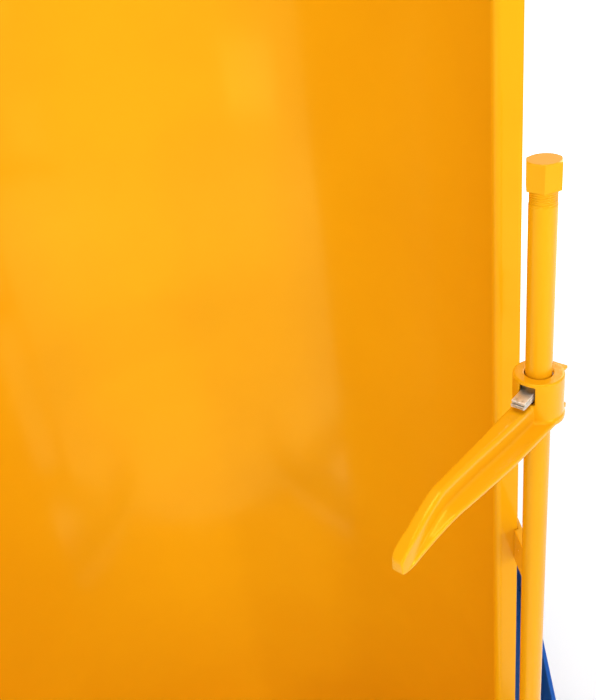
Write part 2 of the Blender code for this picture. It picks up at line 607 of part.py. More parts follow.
# ---- controls -----------------------------------------------------------
control = box("control_box", (-396, -344), (430.3, 486), (-190, -40), "black", None, (0, 0, 0), 4, 2)
for z in (-85, -140):
    boolean(control, cylinder(f"button_hole_{-z}", (-410, 458, z), (-384, 458, z), 11.6, "black", "cutter", (0, 0, 0), 24), "DIFFERENCE")
for name, z, kind in (("button_up", -85, "green"), ("button_down", -140, "red")):
    place = (-396.0, 458.0, z)
    holder = axis_empty(f"{name}_axis", world(*place))
    turned(name, [(0, 14), (9.5, 14), (11, 12.5), (11, 0.5), (0, 0.5)], (-390.0, 458.0, z), (-1, 0, 0), kind, holder, place, 24)
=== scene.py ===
"""Looks of the drum tipper: finishes, welds, threads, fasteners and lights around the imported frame."""
import json
import math

import bmesh
import bpy
import numpy as np
from mathutils import Matrix, Vector, noise


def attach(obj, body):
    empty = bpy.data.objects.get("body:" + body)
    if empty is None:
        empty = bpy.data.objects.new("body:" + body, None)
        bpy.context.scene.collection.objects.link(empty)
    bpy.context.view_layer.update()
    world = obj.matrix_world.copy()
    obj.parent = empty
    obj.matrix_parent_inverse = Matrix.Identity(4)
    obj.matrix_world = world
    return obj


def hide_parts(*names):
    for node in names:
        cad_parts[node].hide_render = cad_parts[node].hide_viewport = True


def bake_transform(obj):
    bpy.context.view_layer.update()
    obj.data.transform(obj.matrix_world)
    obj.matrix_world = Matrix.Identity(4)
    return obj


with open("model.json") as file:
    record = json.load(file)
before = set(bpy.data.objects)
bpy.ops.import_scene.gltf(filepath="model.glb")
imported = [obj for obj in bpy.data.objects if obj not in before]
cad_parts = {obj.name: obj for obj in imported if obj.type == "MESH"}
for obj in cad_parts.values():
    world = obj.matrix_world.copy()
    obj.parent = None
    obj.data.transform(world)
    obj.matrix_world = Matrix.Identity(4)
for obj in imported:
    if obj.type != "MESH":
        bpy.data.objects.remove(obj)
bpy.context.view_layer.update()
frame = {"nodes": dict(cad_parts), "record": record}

NODES = frame["nodes"]
BODY_OF = {node: body for body, names in frame["record"]["behaviour"]["bodies"].items() for node in names}
scene = bpy.context.scene


def W(x, y, z):
    """Chute coordinates (mm, chute axis, drum rim height) to the row frame in metres."""
    return Vector((x * 0.001, (y - 120.0) * 0.001, (z + 900.0) * 0.001))


# ---- camera -------------------------------------------------------------
camera_data = bpy.data.cameras.new("camera")
camera_data.sensor_fit = "AUTO"
camera_data.sensor_width = 36.0
camera_data.lens = 44.34
camera_data.clip_start = 0.02
camera_data.clip_end = 60.0
camera = bpy.data.objects.new("camera", camera_data)
scene.collection.objects.link(camera)
right = Vector((0.99056, -0.06931, -0.11829)).normalized()
back = Vector((0.0, -0.8628, 0.5055)).normalized()
up = back.cross(right).normalized()
camera.matrix_world = Matrix.Translation(W(125.2, -668.5, 466.1)) @ Matrix((right, up, back)).transposed().to_4x4()
scene.camera = camera

# ---- light and floor ----------------------------------------------------
scene.view_settings.view_transform = "Standard"
scene.view_settings.look = "None"
scene.view_settings.exposure = 0.0
scene.view_settings.gamma = 1.0

world = bpy.data.worlds.new("studio")
scene.world = world
world.use_nodes = True
wt = world.node_tree
for node in list(wt.nodes):
    wt.nodes.remove(node)
world_out = wt.nodes.new("ShaderNodeOutputWorld")
seen = wt.nodes.new("ShaderNodeBackground")
seen.inputs["Color"].default_value = (1, 1, 1, 1)
seen.inputs["Strength"].default_value = 1.0
lit = wt.nodes.new("ShaderNodeBackground")
lit.inputs["Color"].default_value = (1, 0.99, 0.97, 1)
lit.inputs["Strength"].default_value = 0.30
path = wt.nodes.new("ShaderNodeLightPath")
pick = wt.nodes.new("ShaderNodeMixShader")
either = wt.nodes.new("ShaderNodeMath")
either.operation = "MAXIMUM"
wt.links.new(path.outputs["Is Camera Ray"], either.inputs[0])
mirrored = wt.nodes.new("ShaderNodeMath")
mirrored.operation = "MULTIPLY"
mirrored.inputs[1].default_value = 0.35
wt.links.new(path.outputs["Is Glossy Ray"], mirrored.inputs[0])
wt.links.new(mirrored.outputs[0], either.inputs[1])
wt.links.new(either.outputs[0], pick.inputs["Fac"])
wt.links.new(lit.outputs[0], pick.inputs[1])
wt.links.new(seen.outputs[0], pick.inputs[2])
wt.links.new(pick.outputs[0], world_out.inputs["Surface"])


def area_light(name, place, target, size, power, colour=(1, 1, 1), spread=180.0):
    data = bpy.data.lights.new(name, "AREA")
    data.shape = "RECTANGLE"
    data.size, data.size_y = size
    data.energy = power
    data.color = colour
    data.spread = math.radians(spread)
    obj = bpy.data.objects.new(name, data)
    obj.visible_camera = False
    scene.collection.objects.link(obj)
    place, target = Vector(place), Vector(target)
    obj.matrix_world = Matrix.Translation(place) @ (target - place).to_track_quat("-Z", "Y").to_matrix().to_4x4()
    return obj


LIGHTS = (
    ("key_box", (2.10, -2.67, 1.36), (0.3, -0.1, 0.75), (0.5, 0.5), 31.0),
    ("front_box", (0.2, -3.0, 2.7), (0.0, 0.1, 1.1), (1.5, 1.0), 11.0),
    ("left_box", (-1.6, -2.8, 1.9), (0.1, 0.0, 1.1), (1.3, 1.5), 32.0),
    ("right_box", (3.2, -1.0, 1.7), (0.3, -0.1, 1.0), (0.8, 1.8), 3.0),
    ("top_box", (0.3, -0.4, 3.8), (0.0, 0.0, 1.0), (1.8, 1.8), 61.0),
    ("rear_right_box", (2.2, 2.4, 2.6), (0.1, 0.2, 0.8), (1.6, 1.6), 41.0),
    ("rear_left_box", (-2.2, 2.6, 2.2), (0.0, 0.3, 0.7), (1.6, 1.6), 40.0),
    ("low_left_box", (-1.10, -1.10, 0.76), (0.11, 0.17, 1.14), (0.50, 0.22), 0.50),
    ("low_right_box", (0.89, -1.26, 0.68), (-0.13, 0.16, 1.12), (0.30, 0.26), 0.12),
)
for light in LIGHTS:
    area_light(*light)


# ---- node helpers -------------------------------------------------------
class Paint:
    """A Principled material with procedural nodes, in object coordinates."""

    def __init__(self, name, roughness=0.4, metallic=0.0, coat=0.0, coat_roughness=0.05, specular=0.5):
        self.material = bpy.data.materials.new(name)
        self.material.use_nodes = True
        self.tree = self.material.node_tree
        self.shader = self.tree.nodes["Principled BSDF"]
        self.shader.inputs["Metallic"].default_value = metallic
        self.shader.inputs["Roughness"].default_value = roughness
        self.shader.inputs["Coat Weight"].default_value = coat
        self.shader.inputs["Coat Roughness"].default_value = coat_roughness
        self.shader.inputs["Specular IOR Level"].default_value = specular
        self.coords = self.tree.nodes.new("ShaderNodeTexCoord").outputs["Object"]
        self.height = None

    def node(self, kind, **settings):
        made = self.tree.nodes.new(kind)
        for key, value in settings.items():
            setattr(made, key, value)
        return made

    def link(self, source, target):
        self.tree.links.new(source, target)

    def stretch(self, scale):
        mapping = self.node("ShaderNodeMapping")
        mapping.inputs["Scale"].default_value = scale
        self.link(self.coords, mapping.inputs["Vector"])
        return mapping.outputs["Vector"]

    def noise(self, scale, detail=2.0, rough=0.5, coords=None, distortion=0.0):
        made = self.node("ShaderNodeTexNoise")
        made.inputs["Scale"].default_value = scale
        made.inputs["Detail"].default_value = detail
        made.inputs["Roughness"].default_value = rough
        made.inputs["Distortion"].default_value = distortion
        self.link(coords or self.coords, made.inputs["Vector"])
        return made.outputs["Fac"]

    def cells(self, scale, coords=None, feature="F1"):
        made = self.node("ShaderNodeTexVoronoi", feature=feature)
        made.inputs["Scale"].default_value = scale
        self.link(coords or self.coords, made.inputs["Vector"])
        return made.outputs["Distance"]

    def ramp(self, value, stops):
        made = self.node("ShaderNodeValToRGB")
        elements = made.color_ramp.elements
        while len(elements) > 1:
            elements.remove(elements[-1])
        for i, (position, colour) in enumerate(stops):
            element = elements[0] if i == 0 else elements.new(position)
            element.position = position
            element.color = colour if isinstance(colour, tuple) else (colour, colour, colour, 1)
        self.link(value, made.inputs["Fac"])
        return made.outputs["Color"]

    def math(self, operation, a, b):
        made = self.node("ShaderNodeMath", operation=operation)
        for socket, value in zip(made.inputs, (a, b)):
            if isinstance(value, (int, float)):
                socket.default_value = value
            else:
                self.link(value, socket)
        return made.outputs[0]

    def mix(self, factor, a, b):
        made = self.node("ShaderNodeMix", data_type="RGBA")
        for index, value in ((0, factor), (6, a), (7, b)):
            if isinstance(value, (int, float, tuple)):
                made.inputs[index].default_value = value
            else:
                self.link(value, made.inputs[index])
        return made.outputs[2]

    def bump(self, value, distance, strength=1.0):
        made = self.node("ShaderNodeBump")
        made.inputs["Distance"].default_value = distance
        made.inputs["Strength"].default_value = strength
        self.link(value, made.inputs["Height"])
        if self.height is not None:
            self.link(self.height, made.inputs["Normal"])
        self.height = made.outputs["Normal"]
        self.link(self.height, self.shader.inputs["Normal"])

    def colour(self, value):
        self.link(value, self.shader.inputs["Base Color"])

    def rough(self, value):
        self.link(value, self.shader.inputs["Roughness"])


def mixed(colour, factor):
    return tuple(c * factor for c in colour[:3]) + (1,)


def enamel(name, base, deep, roughness, tint, peel=0.00003, grit=0.0, specular=0.5, dust=0.02):
    """Sprayed enamel: slow colour drift, dust nibs, orange peel, and cast grit where asked."""
    p = Paint(name, roughness, 0.0, 0.0, 0.06, specular)
    p.shader.inputs["Specular Tint"].default_value = tint
    drift = p.noise(5.0, 3.0, 0.55)
    body = p.ramp(drift, [(0.3, deep), (0.62, base)])
    nibs = p.ramp(p.cells(210.0), [(0.0, 1.0), (0.035, 0.0)])
    fine = p.ramp(p.noise(26.0, 2.0), [(0.55, 0.0), (0.75, dust)])
    speck = p.math("MULTIPLY", nibs, fine)
    p.colour(p.mix(p.math("MULTIPLY", speck, 10.0), body, mixed(deep, 0.45)))
    p.rough(p.ramp(p.noise(14.0, 4.0, 0.6), [(0.3, roughness * 0.8), (0.7, roughness * 1.25)]))
    if grit:
        p.bump(p.noise(420.0, 6.0, 0.62), grit)
        p.bump(p.noise(90.0, 3.0, 0.5), grit * 1.6)
    if peel:
        p.bump(p.noise(330.0, 2.0, 0.5), peel)
    return p.material


YELLOW = (0.780, 0.343, 0.0040, 1)
YELLOW_DEEP = (0.755, 0.322, 0.0036, 1)
YELLOW_SHEEN = (1.0, 0.84, 0.11, 1)
BLUE = (0.0065, 0.082, 0.40, 1)
BLUE_DEEP = (0.0045, 0.065, 0.335, 1)
BLUE_SHEEN = (0.45, 0.75, 1.0, 1)

yellow_sheet = enamel("yellow_sheet", YELLOW, YELLOW_DEEP, 0.13, YELLOW_SHEEN, 0.000012, 0.0, 0.5, 0.01)
yellow_plate = enamel("yellow_plate", YELLOW, YELLOW_DEEP, 0.24, YELLOW_SHEEN, 0.00003, 0.0, 0.5, 0.008)
yellow_cast = enamel("yellow_cast", YELLOW, YELLOW_DEEP, 0.21, YELLOW_SHEEN, 0.00003, 0.00009, 0.5, 0.05)
yellow_bar = enamel("yellow_bar", YELLOW, YELLOW_DEEP, 0.20, YELLOW_SHEEN, 0.00003, 0.0, 0.5)
blue_steel = enamel("blue_steel", BLUE, BLUE_DEEP, 0.28, BLUE_SHEEN, 0.00001, 0.0, 0.5, 0.004)
black_enamel = enamel("black_enamel", (0.018, 0.018, 0.02, 1), (0.012, 0.012, 0.014, 1), 0.35, (1, 1, 1, 1), 0.00004)


def metal(name, light, dark, roughness, grain=(1, 1, 60), lines=90.0, depth=0.00002, stain=None):
    """Bare or plated metal with drawn grain and light staining."""
    p = Paint(name, roughness, 1.0)
    streak = p.noise(lines, 4.0, 0.6, p.stretch(grain))
    tone = p.ramp(streak, [(0.25, dark), (0.75, light)])
    if stain:
        patch = p.ramp(p.noise(160.0, 3.0, 0.6), [(0.5, 0.0), (0.7, 0.7)])
        tone = p.mix(patch, tone, stain)
    p.colour(tone)
    p.rough(p.ramp(p.noise(60.0, 4.0, 0.6), [(0.3, roughness * 0.75), (0.7, roughness * 1.4)]))
    p.bump(streak, depth)
    return p.material


zinc = metal("zinc_plating", (0.70, 0.71, 0.70, 1), (0.50, 0.51, 0.50, 1), 0.30, (60, 60, 4), 30.0, 0.00003, (0.50, 0.46, 0.36, 1))
plate_zinc = metal("clutch_plate_zinc", (0.98, 0.98, 0.95, 1), (0.70, 0.71, 0.66, 1), 0.40, (90, 90, 6), 45.0, 0.00004, (0.42, 0.37, 0.24, 1))
# Near-black iron: painted shade for the inside of the clamp collar's chamber.
painted_shade_iron = metal("chamber_painted_shade", (0.085, 0.085, 0.080, 1), (0.030, 0.032, 0.034, 1), 0.5, (1, 1, 1), 300.0, 0.00008)
steel = metal("bright_steel", (0.62, 0.62, 0.61, 1), (0.42, 0.42, 0.43, 1), 0.30, (1, 40, 40), 40.0)
chrome = metal("hard_chrome", (0.80, 0.81, 0.83, 1), (0.70, 0.71, 0.74, 1), 0.08, (40, 4, 4), 60.0, 0.000004)
bronze = metal("bearing_bronze", (0.66, 0.44, 0.20, 1), (0.45, 0.28, 0.12, 1), 0.33, (1, 40, 40), 60.0)
alloy = metal("cast_alloy", (0.58, 0.59, 0.60, 1), (0.46, 0.47, 0.48, 1), 0.42, (1, 1, 1), 500.0, 0.00012)


def polymer(name, colour, roughness, grain=500.0, depth=0.00005, coat=0.0):
    p = Paint(name, roughness, 0.0, coat)
    p.colour(p.ramp(p.noise(30.0, 3.0), [(0.3, mixed(colour, 0.8)), (0.7, colour)]))
    p.rough(p.ramp(p.noise(70.0, 3.0), [(0.3, roughness * 0.85), (0.7, min(1.0, roughness * 1.2))]))
    p.bump(p.cells(grain), depth)
    return p.material


rubber = polymer("black_rubber", (0.022, 0.022, 0.024, 1), 0.75, 350.0, 0.00012)
plastic = polymer("black_plastic", (0.030, 0.030, 0.033, 1), 0.45, 700.0, 0.00005)
green_knob = polymer("green_plastic", (0.015, 0.24, 0.055, 1), 0.28, 900.0, 0.00001, 0.4)
red_knob = polymer("red_plastic", (0.42, 0.015, 0.012, 1), 0.28, 900.0, 0.00001, 0.4)
hose_skin = polymer("hose_cover", (0.020, 0.020, 0.021, 1), 0.60, 900.0, 0.00010)

floor_paint = Paint("studio_floor", 0.9)
floor_paint.colour(floor_paint.ramp(floor_paint.noise(0.7, 2.0), [(0.3, (0.93, 0.93, 0.93, 1)), (0.7, (0.96, 0.96, 0.96, 1))]))
floor_paint.shader.inputs["Specular IOR Level"].default_value = 0.0
floor_paint.shader.inputs["Emission Color"].default_value = (1, 1, 1, 1)
far = floor_paint.node("ShaderNodeVectorMath", operation="LENGTH")
floor_paint.link(floor_paint.coords, far.inputs[0])
reach = floor_paint.node("ShaderNodeMapRange", interpolation_type="SMOOTHSTEP")
for socket, value in (("From Min", 1.1), ("From Max", 2.7), ("To Min", 0.06), ("To Max", 1.0)):
    reach.inputs[socket].default_value = value
floor_paint.link(far.outputs["Value"], reach.inputs["Value"])
floor_paint.link(reach.outputs["Result"], floor_paint.shader.inputs["Emission Strength"])

bm = bmesh.new()
bmesh.ops.create_grid(bm, x_segments=8, y_segments=8, size=14)
floor_mesh = bpy.data.meshes.new("studio_floor")
bm.to_mesh(floor_mesh)
bm.free()
floor = bpy.data.objects.new("studio_floor", floor_mesh)
floor.location = (0, 0, -0.0006)
floor_mesh.materials.append(floor_paint.material)
scene.collection.objects.link(floor)


# ---- mesh helpers -------------------------------------------------------
def piece(name, mesh, body, look, angle=35.0):
    """Links a mesh given in the row frame as a piece that rides on body."""
    mesh.name = name
    obj = bpy.data.objects.new(name, mesh)
    scene.collection.objects.link(obj)
    mesh.materials.clear()
    mesh.materials.append(look)
    mesh.shade_smooth()
    mesh.set_sharp_from_angle(angle=math.radians(angle))
    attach(obj, body)
    return obj


def from_bm(bm, name, weld=0.000002):
    if weld:
        bmesh.ops.remove_doubles(bm, verts=bm.verts, dist=weld)
    bmesh.ops.recalc_face_normals(bm, faces=bm.faces)
    mesh = bpy.data.meshes.new(name)
    bm.to_mesh(mesh)
    bm.free()
    return mesh


def bevelled(obj, width, segments=2, angle=30.0):
    modifier = obj.modifiers.new("edges", "BEVEL")
    modifier.width = width
    modifier.segments = segments
    modifier.limit_method = "ANGLE"
    modifier.angle_limit = math.radians(angle)
    modifier.harden_normals = False
    modifier.use_clamp_overlap = True
    weighted = obj.modifiers.new("normals", "WEIGHTED_NORMAL")
    weighted.keep_sharp = True
    weighted.weight = 70
    return obj


def node_bm(node):
    """The CAD node's faces, welded and with flat triangles joined again."""
    bm = bmesh.new()
    bm.from_mesh(NODES[node].data)
    bmesh.ops.remove_doubles(bm, verts=bm.verts, dist=0.000006)
    bmesh.ops.dissolve_limit(bm, angle_limit=math.radians(0.6), verts=bm.verts, edges=bm.edges)
    return bm


def dress(node, look, width=0.0008, segments=2, angle=30.0):
    """A node's own shape with its edges broken, in place of the faceted solid."""
    bm = node_bm(node)
    obj = piece(f"{node}_finish", from_bm(bm, node), BODY_OF[node], look, 32.0)
    if width:
        bevelled(obj, width, segments, angle)
    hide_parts(node)
    return obj


def lathe(profile, place, along, count=64, start=0.0, total=2 * math.pi, wobble=None):
    """Turned surface from (radius, height) points in metres; open ends close on the axis when the radius is 0."""
    along = Vector(along).normalized()
    side = Vector((0, 0, 1)) if abs(along.z) < 0.9 else Vector((1, 0, 0))
    u = side.cross(along).normalized()
    v = along.cross(u)
    bm = bmesh.new()
    rows = []
    for r, h in profile:
        row = []
        for i in range(count):
            a = start + total * i / count
            rr = r if wobble is None else r + wobble(a, h, r)
            row.append(bm.verts.new(Vector(place) + along * h + (u * math.cos(a) + v * math.sin(a)) * rr))
        rows.append(row)
    for a, b in zip(rows, rows[1:]):
        for i in range(count):
            j = (i + 1) % count
            bm.faces.new((a[i], a[j], b[j], b[i]))
    return bm


def merge(*many):
    """Several bmeshes as one."""
    total = bmesh.new()
    for bm in many:
        mesh = bpy.data.meshes.new("part")
        bm.to_mesh(mesh)
        bm.free()
        total.from_mesh(mesh)
        bpy.data.meshes.remove(mesh)
    return total


def sweep(points, radius, sides=12, ripple=None, closed=False, squash=None):
    """A tube along points, with flat caps on its ends when open; ripple(i) scales each ring."""
    points = [Vector(p) for p in points]
    bm = bmesh.new()
    rows = []
    reference = None
    count = len(points)
    for i, p in enumerate(points):
        a = points[(i - 1) % count] if closed or i else points[0]
        b = points[(i + 1) % count] if closed or i < count - 1 else points[-1]
        tangent = (b - a).normalized()
        if reference is None:
            reference = tangent.orthogonal().normalized()
        reference = (reference - tangent * reference.dot(tangent)).normalized()
        other = tangent.cross(reference)
        r = radius * (1.0 if ripple is None else ripple(i))
        rows.append([bm.verts.new(p + (reference * math.cos(2 * math.pi * k / sides) + other * math.sin(2 * math.pi * k / sides)) * r) for k in range(sides)])
    pairs = list(zip(rows, rows[1:])) + ([(rows[-1], rows[0])] if closed else [])
    for a, b in pairs:
        for k in range(sides):
            bm.faces.new((a[k], a[(k + 1) % sides], b[(k + 1) % sides], b[k]))
    if not closed:
        bm.faces.new(list(reversed(rows[0])))
        bm.faces.new(rows[-1])
    return bm


def spread(points, step):
    """Points every step metres along a polyline."""
    points = [Vector(p) for p in points]
    made = [points[0]]
    carry = 0.0
    for a, b in zip(points, points[1:]):
        length = (b - a).length
        if length < 1e-9:
            continue
        t = step - carry
        while t < length:
            made.append(a.lerp(b, t / length))
            t += step
        carry = length - (t - step)
    made.append(points[-1])
    return made


def weld_bead(points, radius, seed=0):
    """A fillet weld: overlapping ripples along a corner."""
    step = radius * 0.22
    route = spread(points, step)
    total = len(route)

    def ripple(i):
        phase = (i * 0.22 / 0.95) % 1.0
        jitter = 0.05 * noise.noise(Vector((i * 0.21, seed * 7.3, 0.0)))
        taper = min(1.0, 0.35 + 0.65 * math.sin(min(1.0, min(i, total - 1 - i) / 6.0) * math.pi / 2))
        return (0.90 + 0.14 * (1.0 - phase) ** 0.6 + jitter) * taper

    return sweep(route, radius, 10, ripple)


def hexagon_head(place, along, flats, height, turn=0.0, washer=None, stud=None):
    """Bolt head with a chamfered top, a washer under it, and a stud's end through it if asked."""
    along = Vector(along).normalized()
    side = Vector((0, 0, 1)) if abs(along.z) < 0.9 else Vector((1, 0, 0))
    u = side.cross(along).normalized()
    v = along.cross(u)
    place = Vector(place)
    base = 0.0 if washer is None else washer[1]
    bm = bmesh.new()
    count = 48
    apothem = flats / 2

    def radius(a, level):
        k = math.cos(math.radians(30)) / math.cos(math.radians(30) - ((a - turn) % math.radians(60)))
        corner = apothem / math.cos(math.radians(30)) * k
        limit = apothem * 1.0 + (height - level) * 1.9
        return min(corner, limit)

    levels = [0.0] + [height - apothem * s for s in (0.155, 0.12, 0.09, 0.06, 0.03, 0.0)]
    rows = []
    for level in levels:
        rows.append([bm.verts.new(place + along * (base + level) + (u * math.cos(2 * math.pi * i / count) + v * math.sin(2 * math.pi * i / count)) * radius(2 * math.pi * i / count, level)) for i in range(count)])
    rows.append([bm.verts.new(place + along * (base + height) + (u * math.cos(2 * math.pi * i / count) + v * math.sin(2 * math.pi * i / count)) * apothem * 0.9) for i in range(count)])
    for a, b in zip(rows, rows[1:]):
        for i in range(count):
            j = (i + 1) % count
            bm.faces.new((a[i], a[j], b[j], b[i]))
    bm.faces.new(list(reversed(rows[0])))
    bm.faces.new(rows[-1])
    extras = [bm]
    if washer is not None:
        r, t = washer
        extras.append(lathe([(0.0001, 0), (r - t * 0.3, 0), (r, t * 0.3), (r, t * 0.7), (r - t * 0.3, t), (0.0001, t)], place, along, 40))
    if stud is not None:
        r, h = stud
        top = base + height
        extras.append(lathe([(r, top - 0.0005), (r, top + h - r * 0.25), (r * 0.75, top + h), (0.0001, top + h)], place, along, 28))
    return merge(*extras)


# ---- chute --------------------------------------------------------------
R_IN, FOLD_Y, FOLD_R, FLANGE_X = 309.0, 19.4, 8.0, 333.0


def arc(cu, cv, r, a0, a1, count):
    return [(cu + r * math.cos(math.radians(a0 + (a1 - a0) * i / count)), cv + r * math.sin(math.radians(a0 + (a1 - a0) * i / count))) for i in range(count + 1)]


def chute_skin():
    """Rolled sheet with folded flanges; the sheet is very slightly out of round, as rolled sheet is."""
    cy = FOLD_Y + FOLD_R
    cx = math.sqrt((R_IN + FOLD_R) ** 2 - cy ** 2)
    meet = math.degrees(math.atan2(cy, cx))
    fold = arc(cx, cy, FOLD_R, 270, 180 + meet, 14)
    big = arc(0, 0, R_IN, meet, 180 - meet, 180)
    edge = [(FLANGE_X, FOLD_Y), (FLANGE_X - 6, FOLD_Y), (FLANGE_X - 12, FOLD_Y)]
    side = edge + fold
    profile = side + big[1:-1] + [(-x, y) for x, y in reversed(side)]
    levels = [-884.7 + (600 + 884.7) * i / 72 for i in range(73)]
    bm = bmesh.new()
    rows = []
    for z in levels:
        row = []
        for x, y in profile:
            r = math.hypot(x, y)
            share = max(0.0, min(1.0, (y - 30) / 60.0))
            ends = min(1.0, (z + 884.7) / 60.0, (600 - z) / 60.0)
            w = 0.42 * noise.noise(Vector((x * 0.0042, y * 0.0042, z * 0.0016 + 3.7)))
            w += 0.14 * noise.noise(Vector((x * 0.012, y * 0.012, z * 0.004 + 9.1)))
            k = 1.0 - (abs(w) * 0.6 + w * 0.4) * share * max(0.0, ends) / r
            row.append(bm.verts.new(W(x * k, y * k, z)))
        rows.append(row)
    for a, b in zip(rows, rows[1:]):
        for i in range(len(profile) - 1):
            bm.faces.new((a[i], a[i + 1], b[i + 1], b[i]))
    mesh = bpy.data.meshes.new("chute_skin")
    bmesh.ops.recalc_face_normals(bm, faces=bm.faces)
    bm.faces.ensure_lookup_table()
    middle = bm.faces[len(profile) // 2]
    if middle.normal.y > 0:
        bmesh.ops.reverse_faces(bm, faces=bm.faces)
    bm.to_mesh(mesh)
    bm.free()
    obj = piece("chute_skin", mesh, "chute", yellow_sheet, 60.0)
    solid = obj.modifiers.new("sheet", "SOLIDIFY")
    solid.thickness = 0.003
    solid.offset = -1
    solid.use_even_offset = True
    bevelled(obj, 0.0007, 2, 60.0)
    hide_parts("chute_shell")
    return obj


chute_skin()
dress("chute_floor_plate", yellow_plate, 0.0018, 3)
for node in ("band_lower", "band_middle", "band_upper"):
    dress(node, yellow_plate, 0.0009, 2)
for node in ("tip_arm_left", "tip_arm_right"):
    dress(node, yellow_plate, 0.0012, 2)
for node in ("clamp_bracket_upper", "clamp_bracket_lower"):
    dress(node, yellow_plate, 0.0010, 3)
dress("pivot_shaft", steel, 0.0012, 2)

# ---- clamp --------------------------------------------------------------
PX, PY = 320.0, -76.0
ARM_DIR = math.atan2(-0.698, -0.716)
PITCH = 1.814


def threaded_post():
    """Round bar with a fine thread at its top, its crests filled with paint."""
    r = 11.0
    low, high, start = -690.0, 240.0, 214.5
    levels = [(low, r - 0.8), (low + 0.8, r)] + [(z, r) for z in (-600, -500, -400, -300, -200, -100, 0, 60, 120, 160, 190, 205, 213.6)]
    count = 96
    bm = bmesh.new()
    rows = []

    def add(z, radius_at):
        rows.append([bm.verts.new(W(PX + radius_at(2 * math.pi * i / count) * math.cos(2 * math.pi * i / count), PY + radius_at(2 * math.pi * i / count) * math.sin(2 * math.pi * i / count), z)) for i in range(count)])

    for z, radius in levels:
        add(z, lambda a, radius=radius: radius)
    z = start
    while z < high - 0.6:
        fade = min(1.0, (z - start) / 2.0)

        def radius_at(a, z=z, fade=fade):
            phase = (z / PITCH - a / (2 * math.pi)) % 1.0
            tooth = abs(phase - 0.5) * 2
            soft = tooth * tooth * (3 - 2 * tooth)
            return r - 0.25 * fade - 0.42 * soft * fade
        add(z, radius_at)
        z += PITCH / 9
    add(high - 0.4, lambda a: r - 0.9)
    add(high, lambda a: r - 1.4)
    for a, b in zip(rows, rows[1:]):
        for i in range(count):
            j = (i + 1) % count
            bm.faces.new((a[i], a[j], b[j], b[i]))
    bm.faces.new(list(reversed(rows[0])))
    bm.faces.new(rows[-1])
    obj = piece("clamp_post_thread", from_bm(bm, "post"), "post", yellow_bar, 50.0)
    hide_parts("clamp_post")
    return obj


threaded_post()
nut_finish = dress("post_nut", yellow_bar, 0.0005, 3, 18.0)


def relax(mesh, rounds, strength=0.5, inflate=-0.53):
    """Taubin smoothing, which rounds edges and fills corners without shrinking the whole."""
    count = len(mesh.vertices)
    co = np.empty(count * 3, np.float64)
    mesh.vertices.foreach_get("co", co)
    co = co.reshape(-1, 3)
    edges = np.empty(len(mesh.edges) * 2, np.int64)
    mesh.edges.foreach_get("vertices", edges)
    a, b = edges.reshape(-1, 2).T
    degree = np.bincount(a, minlength=count) + np.bincount(b, minlength=count)
    degree = np.maximum(degree, 1)[:, None]
    for _ in range(rounds):
        for k in (strength, inflate):
            total = np.zeros_like(co)
            for axis in range(3):
                total[:, axis] = np.bincount(a, co[b, axis], count) + np.bincount(b, co[a, axis], count)
            co += k * (total / degree - co)
    mesh.vertices.foreach_set("co", co.reshape(-1))
    mesh.update()


def smooth_row(table, s):
    """The table's values at s, eased between its rows."""
    if s <= table[0][0]:
        return table[0][1:]
    for low, high in zip(table, table[1:]):
        if s <= high[0]:
            t = (s - low[0]) / (high[0] - low[0])
            return [u + (v - u) * t for u, v in zip(low[1:], high[1:])]
    return table[-1][1:]


# s along the arm, top of the rib, the rib's sides, the base flange's edges, the underside
ARM = [
    (0, 45.5, -9.6, 6.4, -19.0, 21.0, 24.6),
    (46, 45.5, -9.4, 6.2, -18.8, 20.7, 24.6),
    (72, 45.5, -8.0, 5.6, -18.4, 20.4, 24.6),
    (100, 45.5, -7.3, 4.4, -17.6, 18.7, 24.6),
    (130, 45.5, -6.6, 3.9, -16.2, 16.6, 24.6),
    (144, 45.4, -6.4, 4.0, -14.8, 15.4, 24.5),
    (149, 44.9, -6.4, 4.1, -14.2, 15.0, 24.0),
    (153, 44.0, -6.4, 4.2, -13.5, 14.4, 23.2),
    (158, 42.2, -6.4, 4.2, -12.6, 13.2, 21.2),
    (171, 36.4, -6.4, 4.2, -11.0, 10.2, 15.4),
    (183, 29.7, -6.4, 4.2, -9.2, 7.2, 8.8),
    (188, 26.9, -6.9, 4.2, -8.6, 6.2, 6.0),
    (192, 24.4, -7.1, 4.1, -8.2, 5.4, 4.8),
    (196, 21.6, -7.2, 3.9, -7.9, 4.7, 4.4),
    (199, 18.8, -7.0, 3.6, -7.4, 4.2, 4.3),
    (201.0, 16.6, -6.4, 3.2, -6.7, 3.7, 4.4),
    (202.0, 14.2, -5.4, 2.8, -5.6, 3.1, 5.2),
]


def corner(p, q, r, radius, count):
    """Points that round the corner q between the lines to p and r."""
    p, q, r = Vector(p), Vector(q), Vector(r)
    a, b = (p - q), (r - q)
    reach = min(radius, a.length * 0.45, b.length * 0.45)
    a, b = q + a.normalized() * reach, q + b.normalized() * reach
    made = []
    for i in range(count + 1):
        t = i / count
        made.append(a * (1 - t) ** 2 + q * 2 * t * (1 - t) + b * t * t)
    return made


def arm_section(s):
    top, left, right_, low_left, low_right, low = smooth_row(ARM, s)
    step = max(top - 16.0, low + 1.0)
    points = [(left, top), (right_, top), (right_ + 0.5, step), (low_right, step - 0.5), (low_right + 0.1, low),
              (low_left - 0.1, low), (low_left, step - 0.5), (left - 0.5, step)]
    tip = max(0.0, min(1.0, (s - 180) / 18.0))
    radii = (2.8 - 1.2 * tip, 3.8 - 1.2 * tip, 2.6, 2.6, 1.8, 1.8, 2.6, 2.6)
    made = []
    for i, radius in enumerate(radii):
        made += corner(points[i - 1], points[i], points[(i + 1) % 8], radius, 5)
    return made


ALONG = Vector((math.cos(ARM_DIR), math.sin(ARM_DIR), 0))
ASIDE = Vector((-math.sin(ARM_DIR), math.cos(ARM_DIR), 0))


